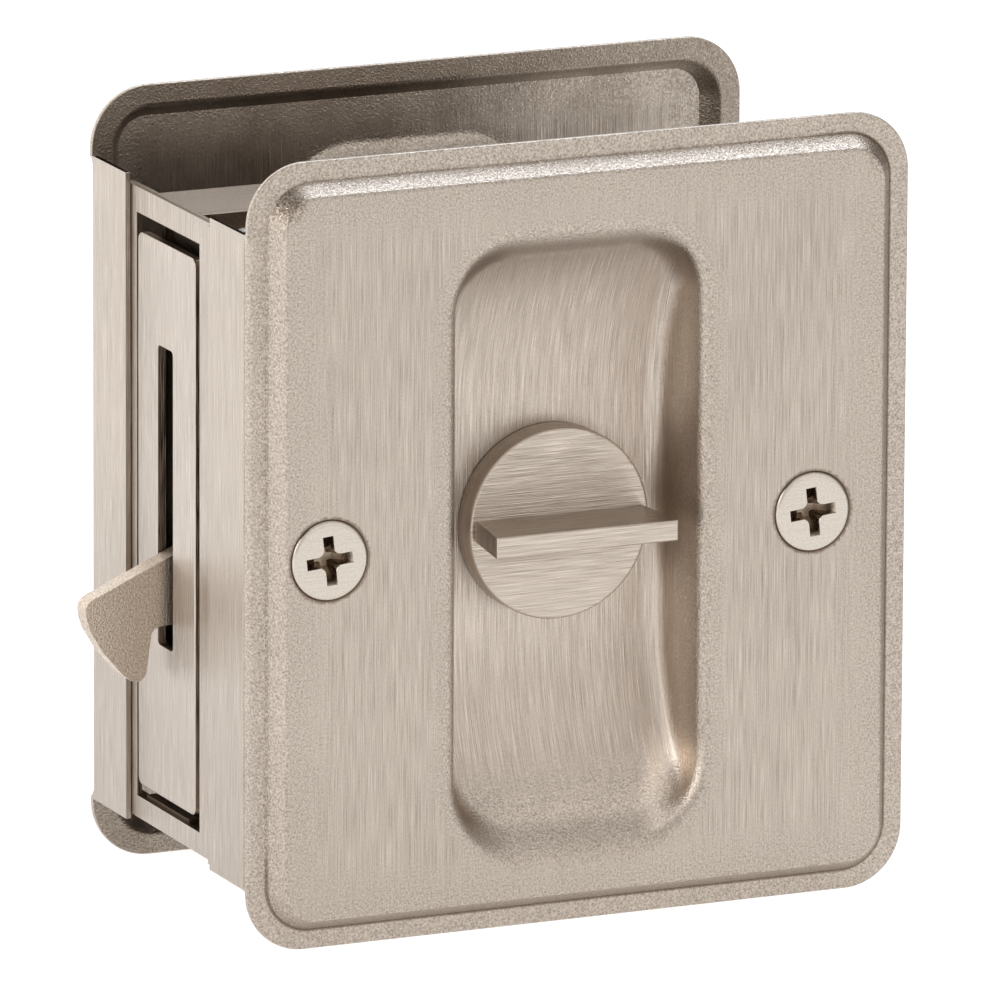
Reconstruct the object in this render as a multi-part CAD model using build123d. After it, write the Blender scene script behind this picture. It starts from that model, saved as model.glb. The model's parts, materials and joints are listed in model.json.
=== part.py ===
from build123d import *
import math
import os

# Adjustable privacy lock for a sliding pocket door.
# X runs from the door's edge into the door, Y through the door's thickness
# (front trim on -Y, rear trim on +Y), Z up.  The origin is on the outer plane
# of the edge flange, half way between the two rims and at mid height.
# All sizes in millimetres.

# ---- driving dimensions -------------------------------------------------
plate_w = 69.85          # trim plate, along X
plate_h = 77.8           # trim plate, along Z
depth = 39.24            # rim face to rim face
t = 0.55                 # sheet thickness of both trims
corner_r = 6.0           # plate corner radius
emboss = 1.9             # raised panel above the rim
panel_x0, panel_x1 = 2.0, 67.85      # foot of the raised panel
panel_z0, panel_z1 = -37.0, 37.0
panel_r = 4.6
panel_taper = 12.0       # slope of the panel's step, from the perpendicular

cup_x0, cup_x1 = 21.2, 47.2          # finger cup mouth
cup_z0, cup_z1 = -30.6, 29.6
cup_r = 7.0
cup_depth = 8.0
cup_flat_z0, cup_flat_z1 = -14.0, 16.0
cup_taper = 8.0
cup_over = 1.0
cup_floor_r = 2.5

screw_x = (7.8, 59.0)    # mounting screws, at z = 0
screw_r = 2.08           # number 8 machine screw
screw_head_r = 3.97
screw_tip_y = 16.5
post_r = 3.2
post_y0 = 7.1            # open end of the threaded posts

tab_z0, tab_z1 = -32.6, 32.3         # rear tab on the door edge
tab_y = 10.5                         # its free edge
main_z0, main_z1 = -32.6, 32.1       # front flange, flush part
joggle_y0, joggle_y1 = -10.4, -9.4   # the step inward
jog_z0, jog_z1 = -32.1, 31.2
jog_x = 0.6                          # outer face of the stepped part
jog_end_y = 15.2
win_y0, win_y1, win_z0, win_z1 = -6.5, 9.15, -29.9, 28.65
bend_r = 1.1             # outside radius of the folds

case_x0, case_x1 = 1.15, 52.0
case_y0, case_y1 = -3.6, 7.95
case_z0, case_z1 = -31.6, 30.8
wall = 1.0

face_t = 0.9
face_y0, face_y1, face_z0, face_z1 = -5.3, 8.85, -28.6, 26.85
slot_y0, slot_y1, slot_z0, slot_z1 = 0.1, 3.85, -13.4, 16.55

hub_x, hub_z = 34.3, 0.0             # turn, hub and release axis
piv_x, piv_z = 14.0, -4.5            # hook pivot axis
crank_r, crank_deg = 9.0, -35.0      # link pins, locked position
hook_y0, hook_y1 = 1.3, 3.5
link_y0, link_y1 = 3.7, 5.2

disc_r = 9.525
bar_len, bar_h = 19.3, 2.1

# ---- helpers ------------------------------------------------------------
rim_y = -depth / 2                   # outer face of the front rim
face_y = rim_y - emboss              # outer face of the raised panel
floor_y = face_y + cup_depth         # cup floor, room side


def box(x0, x1, y0, y1, z0, z1):
    return Pos((x0 + x1) / 2, (y0 + y1) / 2, (z0 + z1) / 2) * Box(x1 - x0, y1 - y0, z1 - z0)


def to_y(x, y, z):
    # plane whose normal points along +Y
    return Plane(origin=(x, y, z), x_dir=(1, 0, 0), z_dir=(0, 1, 0))


def xz(y):
    # plane seen from the front: local x = X, local y = Z, normal -Y
    return Plane(origin=(0, y, 0), x_dir=(1, 0, 0), z_dir=(0, -1, 0))


def cyl_y(x, z, r, y0, y1):
    return to_y(x, y0, z) * Cylinder(r, y1 - y0, align=(Align.CENTER, Align.CENTER, Align.MIN))


def cone_y(x, z, r0, r1, y0, y1):
    return to_y(x, y0, z) * Cone(r0, r1, y1 - y0, align=(Align.CENTER, Align.CENTER, Align.MIN))


def rrect(x0, x1, z0, z1, r, y_base, height, taper=0.0):
    # rounded block standing on y_base and growing towards -Y
    sk = xz(y_base) * Pos((x0 + x1) / 2, (z0 + z1) / 2) * RectangleRounded(x1 - x0, z1 - z0, r)
    return extrude(sk, amount=height, taper=taper)


def plate(sketch, y0, y1):
    # flat piece cut from sheet: a sketch in X-Z given the thickness y0..y1
    return extrude(xz(y1) * sketch, amount=y1 - y0)


def near(shape, y, x0=-1e3, x1=1e3, z0=-1e3, z1=1e3, tol=0.05):
    # edges lying in the plane Y = y inside a window
    out = []
    for e in shape.edges():
        b = e.bounding_box()
        if abs(b.min.Y - y) < tol and abs(b.max.Y - y) < tol and b.min.X > x0 and b.max.X < x1 and b.min.Z > z0 and b.max.Z < z1:
            out.append(e)
    return out


# ---- drawn trim plate ----------------------------------------------------
def cup_form(grow, lip):
    # solid that fills the finger cup; grow = 0 for the room side, t for the back
    c = math.cos(math.radians(cup_taper))
    tan = math.tan(math.radians(cup_taper))
    fy = floor_y + grow
    h = cup_depth + grow + lip
    side = grow / c - grow * tan       # sideways growth measured at the floor plane
    shrink = cup_depth * tan - side
    plan = rrect(cup_x0 + shrink, cup_x1 - shrink, cup_z0 + shrink, cup_z1 - shrink,
                 cup_r - cup_depth * tan + side, fy, h, -cup_taper)
    # the scoop's arcs meet the end walls a little below the lip
    run_t = cup_z1 + cup_over - cup_flat_z1
    run_b = cup_flat_z0 - cup_z0 + cup_over
    rt = (run_t ** 2 + cup_depth ** 2) / (2 * cup_depth)
    rb = (run_b ** 2 + cup_depth ** 2) / (2 * cup_depth)
    yt = floor_y - rt
    yb = floor_y - rb
    ytop = fy - h

    def arc_z(r, yc, y):
        return math.sqrt(max((r + grow) ** 2 - (y - yc) ** 2, 0.0))
    zt = cup_flat_z1 + arc_z(rt, yt, face_y)
    zb = cup_flat_z0 - arc_z(rb, yb, face_y)
    at = math.asin(arc_z(rt, yt, face_y) / (rt + grow)) / 2
    ab = math.asin(arc_z(rb, yb, face_y) / (rb + grow)) / 2
    # straight run-out above the face so that the arc meets the lip on its tangent
    tt = 2 * at
    tb = 2 * ab
    zt2 = zt + (face_y - ytop) / math.tan(tt)
    zb2 = zb - (face_y - ytop) / math.tan(tb)
    line = (Polyline((fy, cup_flat_z0), (fy, cup_flat_z1))
            + ThreePointArc((fy, cup_flat_z1),
                            (yt + (rt + grow) * math.cos(at), cup_flat_z1 + (rt + grow) * math.sin(at)),
                            (face_y, zt))
            + Polyline((face_y, zt), (ytop, zt2), (ytop, zb2), (face_y, zb))
            + ThreePointArc((face_y, zb),
                            (yb + (rb + grow) * math.cos(ab), cup_flat_z0 - (rb + grow) * math.sin(ab)),
                            (fy, cup_flat_z0)))
    prof = make_face(Plane.YZ * line)
    form = plan & (Pos(cup_x0 - 8, 0, 0) * extrude(prof, amount=cup_x1 - cup_x0 + 16))
    # the floor rolls into the walls all round
    loop = []
    for e in form.edges():
        b = e.bounding_box()
        along_z = b.max.X - b.min.X < 0.01 and b.max.Y - b.min.Y < 0.01 and b.min.Y > face_y + 3
        if along_z or (e.geom_type == GeomType.ELLIPSE and b.max.Y > face_y + 3):
            loop.append(e)
    return fillet(loop, cup_floor_r + grow)


def dimple_back(sx):
    # inner side of the pressed cone under a screw head, one sheet behind the outer side
    slope = (screw_head_r + 0.12 - 2.35) / 1.95
    side = t * math.sqrt(1 + slope ** 2)
    r0 = screw_head_r + 0.12 - slope * 0.3 + side
    r1 = screw_head_r + 0.12 - slope * 2.2 + side
    return cone_y(sx, 0, r0, r1, face_y + 0.3, face_y + 2.2)


def trim_shell(dimples):
    th = math.radians(panel_taper)
    outer = rrect(panel_x0, panel_x1, panel_z0, panel_z1, panel_r, rim_y, emboss, panel_taper)
    ins = t / math.cos(th) - t * math.tan(th)
    inner = rrect(panel_x0 + ins, panel_x1 - ins, panel_z0 + ins, panel_z1 - ins, panel_r - ins, rim_y + t, emboss, panel_taper)
    slab = rrect(0, plate_w, -plate_h / 2, plate_h / 2, corner_r, rim_y + t, t)
    shoulder = near(outer, face_y)
    outer = fillet(shoulder, 1.1)
    inner = fillet(near(inner, face_y + t), 1.1 - t)
    body = slab + outer
    foot = [e for e in near(body, rim_y, 0.5, plate_w - 0.5, -plate_h / 2 + 0.5, plate_h / 2 - 0.5)]
    body = fillet(foot, 0.3)
    if dimples:
        # the sheet is pressed inward under each screw head
        for sx in screw_x:
            body += dimple_back(sx)
    bulge = cup_form(t, -0.25)
    cavity = cup_form(0.0, 1.0)
    body -= inner - (dimple_back(screw_x[0]) + dimple_back(screw_x[1])) if dimples else inner
    # the inside of the bend at the panel's foot
    bend = near(body, rim_y + t, 1.0, plate_w - 1.0, -plate_h / 2 + 1.0, plate_h / 2 - 1.0)
    bend = [e for e in bend if abs(e.center().Z) > 6 or e.length > 12]
    body = fillet(bend, 0.3 + t)
    body += bulge
    body -= cavity
    if dimples:
        for sx in screw_x:
            body -= cone_y(sx, 0, screw_head_r + 0.12, 2.35, face_y, face_y + 1.95)
            body -= cyl_y(sx, 0, 2.35, face_y + 1.0, face_y + 6)
    mouth = near(body, face_y, cup_x0 - 3, cup_x1 + 3, cup_z0 - 3, cup_z1 + 3)
    mouth = [e for e in mouth if not (e.bounding_box().max.X - e.bounding_box().min.X < 9 and abs(e.center().Z) < 4.2 and (abs(e.center().X - screw_x[0]) < 5 or abs(e.center().X - screw_x[1]) < 5))]
    body = fillet(mouth, 1.4)
    return body


def fold(y_free, z0, z1):
    # L-shaped flange folded back from the rim's left edge, X-Y section
    a = rim_y
    r = bend_r
    k = math.sqrt(0.5)
    line = (Polyline((r, a), (r, a + t))
            + ThreePointArc((r, a + t), (r - (r - t) * k, a + r - (r - t) * k), (t, a + r))
            + Polyline((t, a + r), (t, y_free), (0, y_free), (0, a + r))
            + ThreePointArc((0, a + r), (r - r * k, a + r - r * k), (r, a)))
    sk = make_face(line)
    return Pos(0, 0, z0) * extrude(sk, amount=z1 - z0)


def front_trim():
    b = trim_shell(True)
    b -= box(-1, bend_r, rim_y - 1, rim_y + t + 1, main_z0 - 0.25, main_z1 + 0.25)
    b += fold(joggle_y0, main_z0, main_z1)
    # the step inward and the part that lies under the rear tab
    sec = make_face(Polyline((0, joggle_y0), (t, joggle_y0), (jog_x + t, joggle_y1), (jog_x + t, jog_end_y),
                             (jog_x, jog_end_y), (jog_x, joggle_y1 + 0.35), (0, joggle_y0 + 0.35), (0, joggle_y0)))
    step = Pos(0, 0, jog_z0) * extrude(sec, amount=jog_z1 - jog_z0)
    step -= box(-1, 4, win_y0, win_y1, win_z0, win_z1)
    b += step
    # hole for the turn's neck
    b -= cyl_y(hub_x, hub_z, 4.08, floor_y - 1, floor_y + t + 1)
    return b


def rear_trim():
    b = trim_shell(False)
    b -= box(-1, bend_r, rim_y - 1, rim_y + t + 1, tab_z0 - 0.25, tab_z1 + 0.25)
    b += fold(-tab_y, tab_z0, tab_z1)
    b -= cyl_y(hub_x, hub_z, 4.08, floor_y - 1, floor_y + t + 1)
    b = mirror(b, about=Plane.XZ)
    return b


# ---- lock case -----------------------------------------------------------
def case_body():
    # folded steel tray, open towards the cover and towards the faceplate
    b = box(case_x0, case_x1, case_y0 + wall, case_y1, case_z0, case_z1)
    b = fillet([e for e in b.edges().filter_by(Axis.X) if abs(e.center().Y - case_y1) < 0.01], 1.0)
    b -= box(case_x0 + wall, case_x1 - wall, case_y0 - 1, case_y1 - wall, case_z0 + wall, case_z1 - wall)
    # mouth behind the window
    b -= box(case_x0 - 1, case_x0 + wall + 0.5, case_y0 - 1, case_y1 - wall, win_z0 + 0.3, win_z1 - 0.3)
    b -= box(case_x0 - 1, case_x0 + 1.6, case_y0 - 1, case_y1 + 1, win_z0 + 0.3, win_z1 - 0.3)
    # ears behind the edge flange, above and below the window
    b += box(case_x0, case_x0 + wall, -8.8, 13.4, win_z1 + 0.2, case_z1)
    b += box(case_x0, case_x0 + wall, -8.8, 13.4, case_z0, win_z0 - 0.2)
    b -= cyl_y(hub_x, hub_z, 3.86, case_y1 - wall - 1, case_y1 + 1)
    b -= cyl_y(piv_x, piv_z, 2.0, case_y1 - wall - 1, case_y1 + 1)
    b -= cyl_y(screw_x[0], 0, post_r + 0.4, case_y1 - wall - 1, case_y1 + 1)
    for rx, rz in rivet_at:
        b += cyl_y(rx, rz, 3.0, case_y0 + wall, case_y1 - wall)
        b -= cyl_y(rx, rz, 1.25, case_y0 - 1, case_y1 + 1)
    for lz in lug_z:
        b -= cyl_y(lug_x, lz, 1.25, case_y1 - wall - 1, case_y1 + 1)
    # spring anchor hole in the back wall
    b -= Pos(case_x1, -0.3, 10.0) * Rot(0, 90, 0) * Cylinder(0.8, 4)
    return b


rivet_at = ((6.5, 27.0), (47.5, 26.5), (6.5, -28.4), (47.5, -27.3))
lug_x = 7.2
lug_z = (20.0, -21.5)


def case_cover():
    b = box(case_x0 + wall + 0.05, case_x1, case_y0, case_y0 + wall, case_z0, case_z1)
    b -= cyl_y(hub_x, hub_z, 5.06, case_y0 - 1, case_y0 + wall + 1)
    b -= cyl_y(piv_x, piv_z, 2.0, case_y0 - 1, case_y0 + wall + 1)
    b -= cyl_y(screw_x[0], 0, screw_r + 0.35, case_y0 - 1, case_y0 + wall + 1)
    for rx, rz in rivet_at:
        b -= cyl_y(rx, rz, 1.25, case_y0 - 1, case_y0 + wall + 1)
    for lz in lug_z:
        b -= cyl_y(lug_x, lz, 1.25, case_y0 - 1, case_y0 + wall + 1)
    return b


def rivet(x, z, r, y0, y1, head_r, head):
    b = cyl_y(x, z, r, y0, y1)
    b += cyl_y(x, z, head_r, y0 - head, y0)
    b += cyl_y(x, z, head_r, y1, y1 + head)
    b = chamfer(near(b, y0 - head, tol=0.02) + near(b, y1 + head, tol=0.02), head * 0.6)
    return b


def case_rivets():
    return Compound(children=[rivet(x, z, 1.25, case_y0, case_y1, 2.2, 0.55) for x, z in rivet_at])


def faceplate():
    # shallow channel that caps the case's mouth; its lugs straddle the case
    b = box(jog_x, jog_x + face_t, face_y0, face_y1, face_z0, face_z1)
    b = fillet([e for e in b.edges().filter_by(Axis.X)], 0.9)
    b = chamfer(near_x(b, jog_x), 0.12)
    for lz in lug_z:
        for y0 in (case_y0 - 0.9, case_y1):
            lug = box(jog_x + 0.3, lug_x + 3.2, y0, y0 + 0.9, lz - 4.5, lz + 4.5)
            lug = fillet([e for e in lug.edges().filter_by(Axis.Y) if e.center().X > lug_x], 2.0)
            b += lug
            b -= cyl_y(lug_x, lz, 1.25, y0 - 1, y0 + 2)
    slot = box(jog_x - 1, case_x0 + 1, slot_y0, slot_y1, slot_z0, slot_z1)
    slot = fillet([e for e in slot.edges().filter_by(Axis.X)], 0.5)
    b -= slot
    return b


def near_x(shape, x, tol=0.02):
    return [e for e in shape.edges() if abs(e.bounding_box().min.X - x) < tol and abs(e.bounding_box().max.X - x) < tol]


def faceplate_rivets():
    out = []
    for lz in lug_z:
        out.append(rivet(lug_x, lz, 1.25, case_y0 - 0.9, case_y0 + wall, 2.1, 0.5))
        out.append(rivet(lug_x, lz, 1.25, case_y1 - wall, case_y1 + 0.9, 2.1, 0.5))
    return Compound(children=out)


# ---- mechanism -----------------------------------------------------------
def polar(x, z, r, deg):
    return (x + r * math.cos(math.radians(deg)), z + r * math.sin(math.radians(deg)))


def sector(cx, cz, r, a0, a1, n=24):
    pts = [(cx, cz)] + [polar(cx, cz, r, a0 + (a1 - a0) * i / n) for i in range(n + 1)]
    return make_face(Polyline((cx, cz), polar(cx, cz, r, a0))
                     + ThreePointArc(polar(cx, cz, r, a0), polar(cx, cz, r, (a0 + a1) / 2), polar(cx, cz, r, a1))
                     + Polyline(polar(cx, cz, r, a1), (cx, cz)))


def disc2(x, z, r):
    return Pos(x, z) * Circle(r)


def bar2(x0, z0, x1, z1, w0, w1):
    # straight arm between two points, w0 and w1 wide at its ends
    d = math.hypot(x1 - x0, z1 - z0)
    nx, nz = -(z1 - z0) / d, (x1 - x0) / d
    return make_face(Polyline((x0 + nx * w0 / 2, z0 + nz * w0 / 2), (x1 + nx * w1 / 2, z1 + nz * w1 / 2),
                              (x1 - nx * w1 / 2, z1 - nz * w1 / 2), (x0 - nx * w0 / 2, z0 - nz * w0 / 2),
                              (x0 + nx * w0 / 2, z0 + nz * w0 / 2)))


nose = ((4.3, -2.56), (1.2, -3.92), (-7.30, -7.65), (-7.72, -7.90), (-7.98, -8.30), (-8.07, -8.85), (-7.95, -9.70),
        (-7.60, -10.80), (-6.28, -13.02), (-4.20, -15.45), (-3.35, -16.12), (-2.78, -16.31), (-2.25, -16.25), (-1.85, -15.90),
        (-1.62, -15.25), (-1.30, -12.75), (-1.16, -11.75), (-1.02, -11.42), (-0.70, -11.15), (0.04, -10.97), (1.12, -10.94), (2.6, -11.5),
        (5.02, -13.48), (9.0, -9.0))
notch_mid = math.hypot(screw_x[0] - piv_x, -piv_z)
notch_a = math.degrees(math.atan2(-piv_z, screw_x[0] - piv_x))
notch_w = screw_r + 0.35


def hook_bolt():
    s = make_face(Polyline(*nose, nose[0]))
    s += sector(piv_x, piv_z, 12.7, 224, 292)
    s += disc2(piv_x, piv_z, 5.15)
    px, pz = polar(piv_x, piv_z, crank_r, crank_deg)
    s += bar2(piv_x, piv_z, px, pz, 9.0, 5.6) + disc2(px, pz, 3.2)
    # clearance for the mounting screw while the hook swings
    cut = sector(piv_x, piv_z, notch_mid + notch_w, 110, notch_a + 92)
    cut -= disc2(piv_x, piv_z, notch_mid - notch_w)
    ex, ez = polar(piv_x, piv_z, notch_mid, notch_a + 92)
    cut += disc2(ex, ez, notch_w)
    s -= cut
    s -= disc2(piv_x, piv_z, 2.55)
    s -= disc2(px, pz, 1.5)
    b = plate(s, hook_y0, hook_y1)
    return b


def hook_pivot():
    # stepped pin riveted into both sides of the case
    b = cyl_y(piv_x, piv_z, 2.0, case_y0, case_y1)
    b += cyl_y(piv_x, piv_z, 2.5, case_y0 + wall, case_y1 - wall)
    b += cyl_y(piv_x, piv_z, 4.0, case_y0 + wall, hook_y0 - 0.1)
    b += cyl_y(piv_x, piv_z, 3.0, case_y0 - 0.6, case_y0)
    b += cyl_y(piv_x, piv_z, 3.0, case_y1, case_y1 + 0.5)
    return b


def pivot_spacer():
    return cyl_y(piv_x, piv_z, 3.7, hook_y1 + 0.1, case_y1 - wall) - cyl_y(piv_x, piv_z, 2.5, hook_y0, case_y1)


def link_pin(x, z, y0):
    # shouldered pin staked in the crank or the hook, with a head outside the link
    b = cyl_y(x, z, 1.5, y0, link_y1 + 0.15)
    b += cyl_y(x, z, 2.4, link_y1 + 0.15, link_y1 + 0.85)
    return b


def drive_link():
    ax, az = polar(piv_x, piv_z, crank_r, crank_deg)
    bx, bz = polar(hub_x, hub_z, crank_r, crank_deg)
    s = bar2(ax, az, bx, bz, 4.6, 4.6) + disc2(ax, az, 3.0) + disc2(bx, bz, 3.0)
    s -= disc2(ax, az, 1.56)
    s -= disc2(bx, bz, 1.56)
    return plate(s, link_y0, link_y1)


def hub():
    b = cyl_y(hub_x, hub_z, 5.0, -10.0, case_y0 + wall + 0.1)
    cam = plate(disc2(hub_x, hub_z, 6.4) & (Pos(hub_x, hub_z) * Rectangle(14, 12.0)) & (Pos(hub_x, hub_z) * Rectangle(12.0, 14)), case_y0 + wall + 0.1, hook_y0)
    b += cam
    bx, bz = polar(hub_x, hub_z, crank_r, crank_deg)
    crank = disc2(hub_x, hub_z, 6.4) + bar2(hub_x, hub_z, bx, bz, 9.0, 5.6) + disc2(bx, bz, 3.2)
    crank -= disc2(bx, bz, 1.5)
    b += plate(crank, hook_y0, hook_y1)
    b += cyl_y(hub_x, hub_z, 3.8, hook_y1, case_y1 - 0.45)
    b += cyl_y(hub_x, hub_z, 4.7, 5.9, case_y1 - wall - 0.1)
    b -= box(hub_x - 2.7, hub_x + 2.7, -12, 12, hub_z - 1.0, hub_z + 1.0)
    return b


def detent_spring():
    # leaf that lies over the hub's flats, its foot riveted to the back wall
    th = 0.5
    z0 = 6.75
    y0, y1 = -1.6, 1.0
    x1 = case_x1 - wall
    line = Polyline((x1, 13.0), (x1, z0 + 1.2), (x1 - 1.2, z0), (29.5, z0), (26.0, z0 + 1.6), (26.0, z0 + 1.6 + th + 0.05),
                    (29.4, z0 + th), (x1 - 1.4, z0 + th), (x1 - th, z0 + 1.4), (x1 - th, 13.0), (x1, 13.0))
    b = plate(make_face(line), y0, y1)
    b -= Pos(case_x1, -0.3, 10.0) * Rot(0, 90, 0) * Cylinder(0.8, 6)
    return b


def spring_rivet():
    b = Pos(case_x1 - wall / 2 - 0.25, -0.3, 10.0) * Rot(0, 90, 0) * Cylinder(0.8, wall + 0.5)
    b += Pos(case_x1 + 0.25, -0.3, 10.0) * Rot(0, 90, 0) * Cylinder(1.5, 0.5)
    b += Pos(case_x1 - wall - 0.75, -0.3, 10.0) * Rot(0, 90, 0) * Cylinder(1.3, 0.5)
    return b


# ---- turn and release ----------------------------------------------------
disc_y = face_y + 5.1                # room side of the turn's disc
bar_y = face_y - 1.9                 # front of the grip bar
neck_y = floor_y + t + 0.98          # end of the neck
groove_y = floor_y + t + 0.38        # clip groove in the neck


def thumb_turn():
    b = cyl_y(hub_x, hub_z, disc_r, disc_y, floor_y - 0.12)
    b = fillet(near(b, disc_y), 0.35)
    h = bar_h / 2
    y0 = bar_y
    y1 = disc_y
    grip = Pos(0, 0, hub_z - h) * extrude(make_face(Polyline(
        (hub_x - 9.75, y0), (hub_x + 9.55, y0), (hub_x + 9.25, y0 + 2.2), (hub_x + 8.75, y1 + 0.5),
        (hub_x - 8.75, y1 + 0.5), (hub_x - 9.75, y0))), amount=2 * h)
    grip = fillet(near(grip, y0), 0.25)
    b += grip
    b += cyl_y(hub_x, hub_z, 4.0, floor_y - 0.5, neck_y)
    # groove for the retaining clip
    b -= cyl_y(hub_x, hub_z, 4.2, groove_y, groove_y + 0.5) - cyl_y(hub_x, hub_z, 3.2, groove_y - 1, groove_y + 2)
    b -= box(hub_x - 2.6, hub_x + 2.6, floor_y - 1.2, neck_y + 1, hub_z - 0.9, hub_z + 0.9)
    return b


def release_button():
    # coin-slotted disc on the other side
    b = cyl_y(hub_x, hub_z, disc_r, disc_y, floor_y - 0.12)
    b = fillet(near(b, disc_y), 0.5)
    b -= box(hub_x - 7.0, hub_x + 7.0, disc_y - 1, disc_y + 1.5, hub_z - 0.95, hub_z + 0.95)
    b += cyl_y(hub_x, hub_z, 4.0, floor_y - 0.5, neck_y)
    b -= cyl_y(hub_x, hub_z, 4.2, groove_y, groove_y + 0.5) - cyl_y(hub_x, hub_z, 3.2, groove_y - 1, groove_y + 2)
    b -= box(hub_x - 2.6, hub_x + 2.6, floor_y - 1.0, neck_y + 1, hub_z - 0.9, hub_z + 0.9)
    return mirror(b, about=Plane.XZ)


def clip():
    # E-shaped retaining clip in the neck's groove
    s = disc2(hub_x, hub_z, 5.6) - disc2(hub_x, hub_z, 3.25)
    s -= Pos(hub_x, hub_z - 5) * Rectangle(4.6, 10)
    return plate(s, groove_y + 0.05, groove_y + 0.45)


def washer():
    y0 = floor_y + t + 0.06
    return cyl_y(hub_x, hub_z, 6.2, y0, y0 + 0.3) - cyl_y(hub_x, hub_z, 4.1, y0 - 1, y0 + 1)


def turn_blade():
    return box(hub_x - 2.6, hub_x + 2.6, floor_y - 1.2, -5.2, hub_z - 0.9, hub_z + 0.9)


def release_blade():
    return box(hub_x - 2.6, hub_x + 2.6, -1.5, -floor_y + 1.0, hub_z - 0.9, hub_z + 0.9)


# ---- screws and posts ----------------------------------------------------
def mounting_screw(sx):
    b = cyl_y(sx, 0, screw_r, face_y + 1.5, screw_tip_y)
    b = chamfer(near(b, screw_tip_y), 0.5)
    b += cone_y(sx, 0, screw_head_r - 0.02, screw_r, face_y + 0.02, face_y + 1.9)
    cap_r = 14.0
    rise = cap_r - math.sqrt(cap_r ** 2 - (screw_head_r - 0.02) ** 2)
    cap = Pos(sx, face_y + 0.02 - rise + cap_r, 0) * Sphere(cap_r)
    cap &= cyl_y(sx, 0, screw_head_r - 0.02, face_y - 2, face_y + 0.02)
    b += cap
    # cross recess with tapered wings
    for a in (0, 90):
        w = make_face(Polyline((-2.45, 0), (2.45, 0), (0.9, 2.6), (-0.9, 2.6), (-2.45, 0)))
        wing = extrude(Plane(origin=(0, 0, -0.42), x_dir=(1, 0, 0), z_dir=(0, 0, 1)) * w, amount=0.84)
        b -= Pos(sx, face_y - 0.62, 0) * Rot(0, a + recess_turn, 0) * wing
    return b


recess_turn = 8.0


def post(sx):
    y1 = -face_y - t
    b = cyl_y(sx, 0, post_r, post_y0, y1)
    b = chamfer(near(b, post_y0), 0.4)
    b += cyl_y(sx, 0, 3.8, y1 - 0.9, y1)
    b -= cyl_y(sx, 0, screw_r + 0.05, post_y0 - 1, y1 - 0.6)
    return b


# ---- output --------------------------------------------------------------
os.makedirs("parts", exist_ok=True)
pieces = {
    "front_trim": front_trim(),
    "rear_trim": rear_trim(),
    "case_body": case_body(),
    "case_cover": case_cover(),
    "case_rivets": case_rivets(),
    "faceplate": faceplate(),
    "faceplate_rivets": faceplate_rivets(),
    "hook_bolt": hook_bolt(),
    "hook_pivot": hook_pivot(),
    "pivot_spacer": pivot_spacer(),
    "hook_link_pin": link_pin(*polar(piv_x, piv_z, crank_r, crank_deg), hook_y0),
    "hub_link_pin": link_pin(*polar(hub_x, hub_z, crank_r, crank_deg), hook_y0),
    "drive_link": drive_link(),
    "hub": hub(),
    "detent_spring": detent_spring(),
    "spring_rivet": spring_rivet(),
    "thumb_turn": thumb_turn(),
    "turn_blade": turn_blade(),
    "turn_washer": washer(),
    "turn_clip": clip(),
    "release_button": release_button(),
    "release_blade": release_blade(),
    "release_washer": mirror(washer(), about=Plane.XZ),
    "release_clip": mirror(clip(), about=Plane.XZ),
    "screw_left": mounting_screw(screw_x[0]),
    "screw_right": mounting_screw(screw_x[1]),
    "post_left": post(screw_x[0]),
    "post_right": post(screw_x[1]),
}
for name, shape in pieces.items():
    export_step(shape, "parts/" + name + ".step")
    print(name, round(shape.volume, 2), len(shape.solids()))
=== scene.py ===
import bpy
import bmesh
import json
import math
import numpy as np
from mathutils import Matrix, Vector
from mathutils.geometry import delaunay_2d_cdt

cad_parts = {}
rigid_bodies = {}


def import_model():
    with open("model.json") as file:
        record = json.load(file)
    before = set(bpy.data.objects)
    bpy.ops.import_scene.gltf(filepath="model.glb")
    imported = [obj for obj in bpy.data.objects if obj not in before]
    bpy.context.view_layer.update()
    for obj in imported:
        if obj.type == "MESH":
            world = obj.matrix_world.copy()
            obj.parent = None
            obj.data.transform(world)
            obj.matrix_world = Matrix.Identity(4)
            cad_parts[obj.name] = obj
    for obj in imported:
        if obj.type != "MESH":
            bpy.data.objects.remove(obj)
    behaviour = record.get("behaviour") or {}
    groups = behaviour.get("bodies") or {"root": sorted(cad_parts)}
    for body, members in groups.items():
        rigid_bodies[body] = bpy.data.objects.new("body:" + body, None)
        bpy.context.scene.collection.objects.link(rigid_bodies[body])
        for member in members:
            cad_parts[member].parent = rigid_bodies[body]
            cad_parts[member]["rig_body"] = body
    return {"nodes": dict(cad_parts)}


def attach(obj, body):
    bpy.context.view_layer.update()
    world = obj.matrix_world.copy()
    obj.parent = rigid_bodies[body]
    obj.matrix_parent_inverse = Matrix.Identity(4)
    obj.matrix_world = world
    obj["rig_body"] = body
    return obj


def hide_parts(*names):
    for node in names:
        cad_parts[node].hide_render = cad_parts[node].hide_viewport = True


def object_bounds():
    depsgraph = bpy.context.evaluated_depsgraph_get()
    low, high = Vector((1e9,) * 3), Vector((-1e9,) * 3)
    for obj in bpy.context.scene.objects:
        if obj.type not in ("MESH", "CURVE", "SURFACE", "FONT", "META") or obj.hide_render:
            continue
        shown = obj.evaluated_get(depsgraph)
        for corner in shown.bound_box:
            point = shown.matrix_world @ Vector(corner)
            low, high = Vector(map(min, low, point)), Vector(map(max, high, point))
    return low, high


MM = 0.001

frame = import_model()
cad_lo, cad_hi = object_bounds()
nodes = frame["nodes"]
scene = bpy.context.scene

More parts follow.
